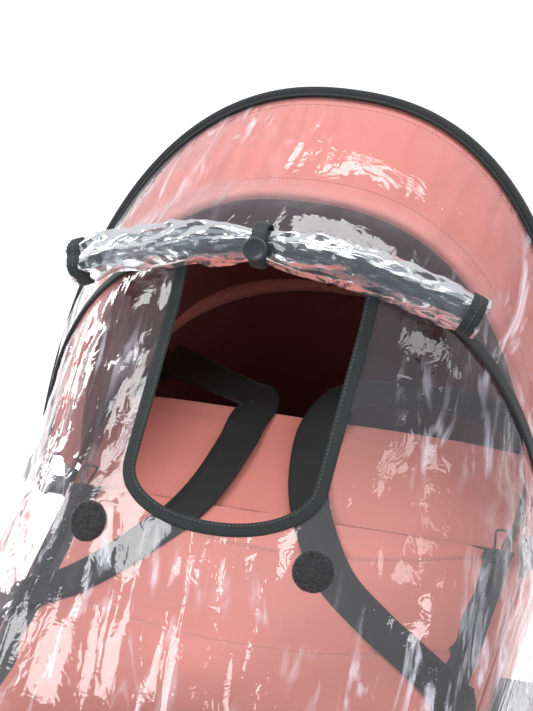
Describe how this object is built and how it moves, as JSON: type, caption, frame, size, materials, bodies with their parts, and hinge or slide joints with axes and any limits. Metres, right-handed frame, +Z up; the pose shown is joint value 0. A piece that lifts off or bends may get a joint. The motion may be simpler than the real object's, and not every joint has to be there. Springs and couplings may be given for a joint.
{
  "type": "pram with carrycot and rain cover",
  "caption": "Folding pram: fabric carrycot with a folding hood, zipped apron and webbing handles, under a clear rain cover with a bound window and rolled flap.",
  "frame": {"origin": "on the ground, at the middle of the pram's footprint box", "axes": "+Z up, +Y towards the head end and the front casters, +X across to the right as seen from the handle"},
  "size_m": [0.6246, 1.0067, 1.0767],
  "materials": {
    "fabric_pink": "woven",
    "mattress_white": "knitted",
    "clear_film": "clear film",
    "binding_black": "woven tape",
    "webbing_black": "webbing",
    "zip_grey": "zip tape",
    "slider_black": "satin",
    "plastic_black": "satin",
    "tube_grey": "satin anodised",
    "steel": "bright",
    "tyre_black": "foam tyre",
    "rim_grey": "satin",
    "grip_black": "foam",
    "basket_fabric": "woven"
  },
  "bodies": {
    "chassis": {"cot_shell": "fabric_pink", "cot_rim": "fabric_pink", "cot_tray": "plastic_black", "cot_feet": "plastic_black", "mattress": "mattress_white", "apron": "fabric_pink", "apron_flap": "fabric_pink", "zip_tapes": "zip_grey", "carry_handle_left": "webbing_black", "carry_handle_right": "webbing_black", "cot_receivers": "plastic_black", "hood_hinges": "plastic_black", "hood_rear_fabric": "fabric_pink", "rain_front_film": "clear_film", "rain_skirt": "clear_film", "window_binding": "binding_black", "rain_hem_binding": "binding_black", "fastener_dots": "binding_black", "hub_left": "plastic_black", "hub_right": "plastic_black", "hub_pins": "steel", "hub_crossbar": "tube_grey", "front_leg_left": "tube_grey", "front_leg_right": "tube_grey", "front_crossbar": "tube_grey", "caster_housings": "plastic_black", "basket": "basket_fabric", "basket_rim": "steel", "basket_straps": "webbing_black"},
    "hood_rim": {"hood_rim_bow": "plastic_black", "rain_hood_film": "clear_film", "rain_rim_binding": "binding_black", "rain_arch_binding": "binding_black", "window_roll": "clear_film", "roll_loop": "binding_black", "roll_button": "plastic_black"},
    "hood_front": {"hood_lip_bow": "tube_grey", "hood_front_fabric": "fabric_pink"},
    "handle_lower": {"handle_lower_left": "tube_grey", "handle_lower_right": "tube_grey", "handle_knuckles": "plastic_black"},
    "handle_upper": {"handle_upper": "tube_grey", "handle_grip": "grip_black"},
    "rear_frame": {"rear_leg_left": "tube_grey", "rear_leg_right": "tube_grey", "rear_axle_tube": "tube_grey", "rear_axle": "steel"},
    "caster_left": {"caster_fork_left": "plastic_black"},
    "caster_right": {"caster_fork_right": "plastic_black"},
    "front_wheel_left": {"front_tyre_left": "tyre_black", "front_rim_left": "rim_grey"},
    "front_wheel_right": {"front_tyre_right": "tyre_black", "front_rim_right": "rim_grey"},
    "rear_wheel_left": {"rear_tyre_left": "tyre_black", "rear_rim_left": "rim_grey"},
    "rear_wheel_right": {"rear_tyre_right": "tyre_black", "rear_rim_right": "rim_grey"},
    "brake": {"brake_pedal": "plastic_black"},
    "zip_left": {"zip_slider_left": "slider_black"},
    "zip_right": {"zip_slider_right": "slider_black"}
  },
  "joints": [
    {"name": "hood_fold", "type": "hinge", "parent": "chassis", "child": "hood_rim", "pos_m": [0, 0.1674, 0.748], "axis": [-1, 0, 0], "range_deg": [0, 38], "deforming": ["hood_rear_fabric", "rain_front_film", "window_binding", "fastener_dots"]},
    {"name": "hood_lip_fold", "type": "hinge", "parent": "hood_rim", "child": "hood_front", "pos_m": [0, 0.1674, 0.748], "axis": [-1, 0, 0], "range_deg": [0, 14], "deforming": ["hood_front_fabric"]},
    {"name": "handle_fold", "type": "hinge", "parent": "chassis", "child": "handle_lower", "pos_m": [0, 0.0924, 0.56], "axis": [1, 0, 0], "range_deg": [0, 83]},
    {"name": "rear_frame_fold", "type": "hinge", "parent": "chassis", "child": "rear_frame", "pos_m": [0, 0.0924, 0.56], "axis": [1, 0, 0], "range_deg": [0, 34.9]},
    {"name": "handle_tilt", "type": "hinge", "parent": "handle_lower", "child": "handle_upper", "pos_m": [0, -0.35008, 0.90323], "axis": [1, 0, 0], "range_deg": [-60, 60]},
    {"name": "caster_left_swivel", "type": "hinge", "parent": "chassis", "child": "caster_left", "pos_m": [-0.2573, 0.4524, 0.165], "axis": [0, 0, 1], "continuous": true},
    {"name": "caster_right_swivel", "type": "hinge", "parent": "chassis", "child": "caster_right", "pos_m": [0.2573, 0.4524, 0.165], "axis": [0, 0, 1], "continuous": true},
    {"name": "front_wheel_left_spin", "type": "hinge", "parent": "caster_left", "child": "front_wheel_left", "pos_m": [-0.2573, 0.4224, 0.075], "axis": [1, 0, 0], "continuous": true},
    {"name": "front_wheel_right_spin", "type": "hinge", "parent": "caster_right", "child": "front_wheel_right", "pos_m": [0.2573, 0.4224, 0.075], "axis": [1, 0, 0], "continuous": true},
    {"name": "rear_wheel_left_spin", "type": "hinge", "parent": "rear_frame", "child": "rear_wheel_left", "pos_m": [-0.2913, -0.2476, 0.09], "axis": [1, 0, 0], "continuous": true},
    {"name": "rear_wheel_right_spin", "type": "hinge", "parent": "rear_frame", "child": "rear_wheel_right", "pos_m": [0.2913, -0.2476, 0.09], "axis": [1, 0, 0], "continuous": true},
    {"name": "brake_press", "type": "hinge", "parent": "rear_frame", "child": "brake", "pos_m": [0, -0.2476, 0.09], "axis": [1, 0, 0], "range_deg": [0, 20]},
    {"name": "zip_left_pull", "type": "slide", "parent": "chassis", "child": "zip_left", "axis": [0, -1, 0], "range_m": [0, 0.075]},
    {"name": "zip_right_pull", "type": "slide", "parent": "chassis", "child": "zip_right", "axis": [0, -1, 0], "range_m": [0, 0.11]}
  ],
  "couplings": [
    {"joint": "hood_lip_fold", "follows": "hood_fold", "ratio": 0.368},
    {"joint": "rear_frame_fold", "follows": "handle_fold", "ratio": 0.42}
  ]
}
